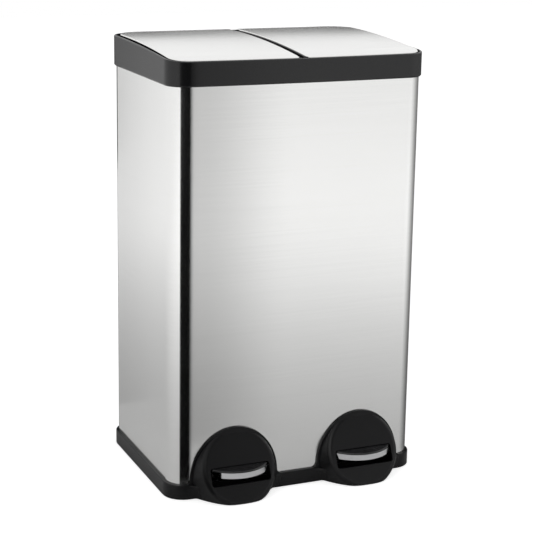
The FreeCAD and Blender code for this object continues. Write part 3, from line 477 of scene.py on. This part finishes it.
class BIN_OT_lid_steel(Operator):
    """Trims each lid's steel back from the other lid, so that the black liner shows there"""

    bl_idname = "recycling_bin.lid_steel"
    bl_label = "Lid steel"

    margin = 0.004  # the steel's edge and fold lie within this of its inner side

    def execute(self, context):
        trim = context.scene.bin_trim.lid_trim
        for side_name, side in SIDES.items():
            node = "lid_skin_" + side_name
            inner = min(abs(corner.x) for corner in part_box(node))
            mesh = NODES[node].data.copy()
            mesh.name = "lid_steel_" + side_name
            mesh.materials.clear()
            for vertex in mesh.vertices:
                if abs(vertex.co.x) < inner + self.margin:
                    vertex.co.x += side * trim
            piece = new_piece(mesh.name, mesh, "lid_" + side_name, "lid_steel")
            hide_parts(node)
        return {"FINISHED"}


class BIN_OT_finishes(Operator):
    """Gives every CAD node its brushed steel, plastic, rubber, chrome or zinc"""

    bl_idname = "recycling_bin.finishes"
    bl_label = "Finishes"

    def execute(self, context):
        plastic = context.scene.bin_plastic
        brushed_steel("finish_steel_wrap", (GRAIN_LENGTH, GRAIN_LENGTH, 1), "Z")
        lid_stretch = (GRAIN_LENGTH, 1, GRAIN_LENGTH)
        # The lid steel's upright edges get the plastic's black as painted shade.
        brushed_steel("finish_lid_steel", lid_stretch, "Y", edge_shade=plastic.colour)
        moulded_plastic("finish_black_plastic", plastic.colour, 0.28, 0.00003, 0.45)
        moulded_plastic("finish_base_plastic", plastic.colour, 0.38, 0.00003, 0.25)
        moulded_plastic("finish_grey_plastic", plastic.bucket_colour, 0.5, 0.00006, 0.35)
        soft_rubber("finish_pedal_rubber", (0.012, 0.012, 0.013), 0.42)
        soft_rubber("finish_rubber", (0.018, 0.018, 0.018), 0.62)
        polished_chrome("finish_chrome_trim")
        zinc_plate("finish_zinc")
        for name, node in NODES.items():
            for slot in node.material_slots:
                slot.link = "OBJECT"
                slot.material = finish_for(FINISHES_OF_THEIR_OWN.get(name, FINISH_OF[name]))
        return {"FINISHED"}


class BIN_OT_stage(Operator):
    """Sets the pale floor, white surroundings, soft lights, cards and camera"""

    bl_idname = "recycling_bin.stage"
    bl_label = "Studio"

    world_light = 0.46  # the world's level as the light on the bin
    floor_glow = 0.68  # of the floor, as the camera sees it
    floor_fade = 0.56  # of the floor, far from the bin, as the bin reflects it
    fade_from, fade_to = 0.2, 2.0
    floor_cells = 24
    aim_height = 0.33
    wrap_bend = 0.0345  # from the wrap's outside to the middle of a corner's bend
    card_reach = 0.0775  # from the middle of a corner's bend to its card

    def execute(self, context):
        studio = context.scene.bin_studio
        context.scene.view_settings.view_transform = "Standard"
        self.add_world(context.scene)
        self.add_floor(studio.floor_size)
        self.add_cards()
        self.add_light("key", studio.key_power, (-1.9, -2.2, 2.1), 1.8)
        self.add_light("fill", studio.fill_power, (2.4, -1.4, 1.6), 1.6)
        self.add_camera(context.scene)
        return {"FINISHED"}

    def add_world(self, scene):
        """White to the camera and in reflections, and a softer level as the light on the bin."""
        world = bpy.data.worlds.new("Studio")
        world.use_nodes = True
        scene.world = world
        tree = world.node_tree
        background = tree.nodes["Background"]
        background.inputs["Color"].default_value = (1, 1, 1, 1)
        seen = self.seen_directly(tree)
        level = tree.nodes.new("ShaderNodeMapRange")
        level.inputs["To Min"].default_value = self.world_light
        level.inputs["To Max"].default_value = 1
        tree.links.new(seen, level.inputs["Value"])
        tree.links.new(level.outputs["Result"], background.inputs["Strength"])

    def seen_directly(self, tree):
        """1 for the camera's rays and for those that metal or glass sends on, else 0."""
        path = tree.nodes.new("ShaderNodeLightPath")
        last = path.outputs["Is Camera Ray"]
        for name in ("Is Glossy Ray", "Is Transmission Ray"):
            either = tree.nodes.new("ShaderNodeMath")
            either.operation = "MAXIMUM"
            tree.links.new(last, either.inputs[0])
            tree.links.new(path.outputs[name], either.inputs[1])
            last = either.outputs["Value"]
        return last

    def add_floor(self, size):
        mesh = bpy.data.meshes.new("floor")
        shape = bmesh.new()
        cells = self.floor_cells
        bmesh.ops.create_grid(shape, x_segments=cells, y_segments=cells, size=size / 2)
        shape.to_mesh(mesh)
        shape.free()
        floor = bpy.data.objects.new("floor", mesh)
        bpy.context.scene.collection.objects.link(floor)
        floor.location.z = CAD_BOX[0][2]
        nodes = Nodes("studio_floor")
        mesh.materials.append(nodes.material)
        speck = nodes.noise(0.03)
        links = {"Base Color": nodes.tint(speck, (0.80, 0.80, 0.80), 0.01)}
        # The floor glows evenly for the camera, and in reflections less towards the bin.
        distance = nodes.add("ShaderNodeVectorMath", {0: nodes.place}, operation="LENGTH")
        fade = nodes.add(
            "ShaderNodeMapRange",
            {
                "Value": distance.outputs["Value"],
                "From Min": self.fade_from,
                "From Max": self.fade_to,
                "To Min": 0.0,
                "To Max": self.floor_fade,
            },
            interpolation_type="SMOOTHSTEP",
        )
        path = nodes.add("ShaderNodeLightPath")
        inputs = {"Factor": path.outputs["Is Camera Ray"], "A": fade.outputs["Result"]}
        glow = nodes.add("ShaderNodeMix", {**inputs, "B": self.floor_glow})
        links["Emission Strength"] = glow.outputs["Result"]
        white = (1, 1, 1, 1)
        nodes.finish(links, Roughness=0.9, Specular_IOR_Level=0.1, Emission_Color=white)

    def add_cards(self):
        """Cards that shape the reflections and that only shiny surfaces see."""
        side, front, back = WRAP_HIGH.x, WRAP_LOW.y, WRAP_HIGH.y
        low, high = BASE_LOW.z, CAD_BOX[1][2]
        bend = self.wrap_bend
        even = (0.25, 0.25, 0.25)
        for x, y, azimuth, width, top, tones in (
            (bend - side, front + bend, -17, 0.068, 1.2 * high, (0, 0, 0)),
            (side - bend, front + bend, 92, 0.150, high, (0.9, 0.25, 0.1)),
            (bend - side, back - bend, 185, 0.060, WRAP_HIGH.z, even),
            (side - bend, back - bend, 140, 0.060, WRAP_HIGH.z, even),
        ):
            reach = self.card_reach
            self.add_card("corner_card", (x, y), azimuth, reach, width, (low, top), tones)
        for name, place, azimuth, distance, width, heights, tones in (
            ("front_scrim", (0.09 - side, front), 0, 0.20, 0.38, (low, high), (1, 0.66, 1)),
            ("side_scrim", (-0.05 - side, back), 180, 0.15, 0.21, (low, high), (1, 0.82, 1)),
            ("dome_card", (0, 0), 15, 1.9, 5.0, (0.85, 3), (0.02, 0.02, 0.02)),
            ("lid_card", (0, 0), 160, 1.3, 2.2, (0.2, 0.86), (0.05, 0.05, 0.05)),
        ):
            self.add_card(name, place, azimuth, distance, width, heights, tones)

    def add_card(self, name, start, azimuth, distance, width, heights, tones):
        """A card across an azimuth in degrees from a place, counted from the front to the right.

        It lets through a share of the light behind it: the tones, from its left end to its right.
        """
        mesh = bpy.data.meshes.new(name)
        turn = math.radians(azimuth)
        half = width / 2
        low, high = heights
        corners = [(-half, 0, low), (half, 0, low), (half, 0, high), (-half, 0, high)]
        mesh.from_pydata(corners, [], [(0, 1, 2, 3)])
        card = bpy.data.objects.new(name, mesh)
        bpy.context.scene.collection.objects.link(card)
        x, y = start
        card.location = (x + distance * math.sin(turn), y - distance * math.cos(turn), 0)
        card.rotation_euler.z = turn
        card.visible_camera = False
        card.visible_diffuse = False
        card.visible_shadow = False
        nodes = Nodes(name)
        across = nodes.add("ShaderNodeSeparateXYZ", {"Vector": nodes.place}).outputs["X"]
        ramp = nodes.add("ShaderNodeValToRGB", {"Fac": nodes.between(across, 0, 1, -half, half)})
        ramp.color_ramp.interpolation = "EASE"
        ramp.color_ramp.elements.new(0.5)
        for stop, tone in zip(ramp.color_ramp.elements, tones):
            stop.color = (1 - tone, 1 - tone, 1 - tone, 1)
        links = {"Alpha": ramp.outputs["Color"]}
        nodes.finish(links, Base_Color=(0, 0, 0, 1), Roughness=1, Specular_IOR_Level=0)
        mesh.materials.append(nodes.material)

    def add_light(self, name, power, place, size):
        data = bpy.data.lights.new(name, "AREA")
        data.energy = power
        data.size = size
        light = bpy.data.objects.new(name, data)
        bpy.context.scene.collection.objects.link(light)
        light.location = place
        aim = Vector((0, 0, self.aim_height)) - light.location
        light.rotation_euler = aim.to_track_quat("-Z", "Y").to_euler()

    def add_camera(self, scene):
        """The photograph's view: from the left of the front and a little above the lids."""
        data = bpy.data.cameras.new("camera")
        data.lens = 104.32
        data.sensor_width = 36
        data.shift_y = -0.075
        camera = bpy.data.objects.new("camera", data)
        scene.collection.objects.link(camera)
        yaw, pitch, roll = 0.4057, 0.2306, 0.0159
        ahead = Vector(
            (math.sin(yaw) * math.cos(pitch), math.cos(yaw) * math.cos(pitch), -math.sin(pitch))
        )
        right = ahead.cross(Vector((0, 0, 1))).normalized()
        up = right.cross(ahead)
        turned_right = math.cos(roll) * right + math.sin(roll) * up
        turned_up = math.cos(roll) * up - math.sin(roll) * right
        axes = Matrix((turned_right, turned_up, -ahead)).transposed()
        place = Vector((-0.9201, WRAP_LOW.y + FRONT_BOW - 2.0174, 0.9229))
        camera.matrix_world = Matrix.Translation(place) @ axes.to_4x4()
        scene.camera = camera


class BIN_PT_sidebar(Panel):
    """Shows the bin's settings and the buttons for its steps"""

    bl_idname = "BIN_PT_sidebar"
    bl_label = "Recycling Bin"
    bl_space_type = "VIEW_3D"
    bl_region_type = "UI"
    bl_category = "Recycling Bin"

    def draw(self, context):
        for name, settings in GROUPS.items():
            box = self.layout.box()
            for prop in settings.__annotations__:
                box.prop(getattr(context.scene, name), prop)
        for operator in OPERATORS:
            self.layout.operator(operator.bl_idname)


OPERATORS = [BIN_OT_finishes, BIN_OT_foot_blends, BIN_OT_lid_steel, BIN_OT_stage]


def register():
    for item in (*GROUPS.values(), *OPERATORS, BIN_PT_sidebar):
        register_class(item)
    for name, settings in GROUPS.items():
        setattr(bpy.types.Scene, name, PointerProperty(type=settings))


def unregister():
    for name in GROUPS:
        delattr(bpy.types.Scene, name)
    for item in reversed((*GROUPS.values(), *OPERATORS, BIN_PT_sidebar)):
        unregister_class(item)


def main():
    register()
    bpy.ops.recycling_bin.finishes()
    bpy.ops.recycling_bin.foot_blends()
    bpy.ops.recycling_bin.lid_steel()
    bpy.ops.recycling_bin.stage()


if __name__ == "__main__":
    main()
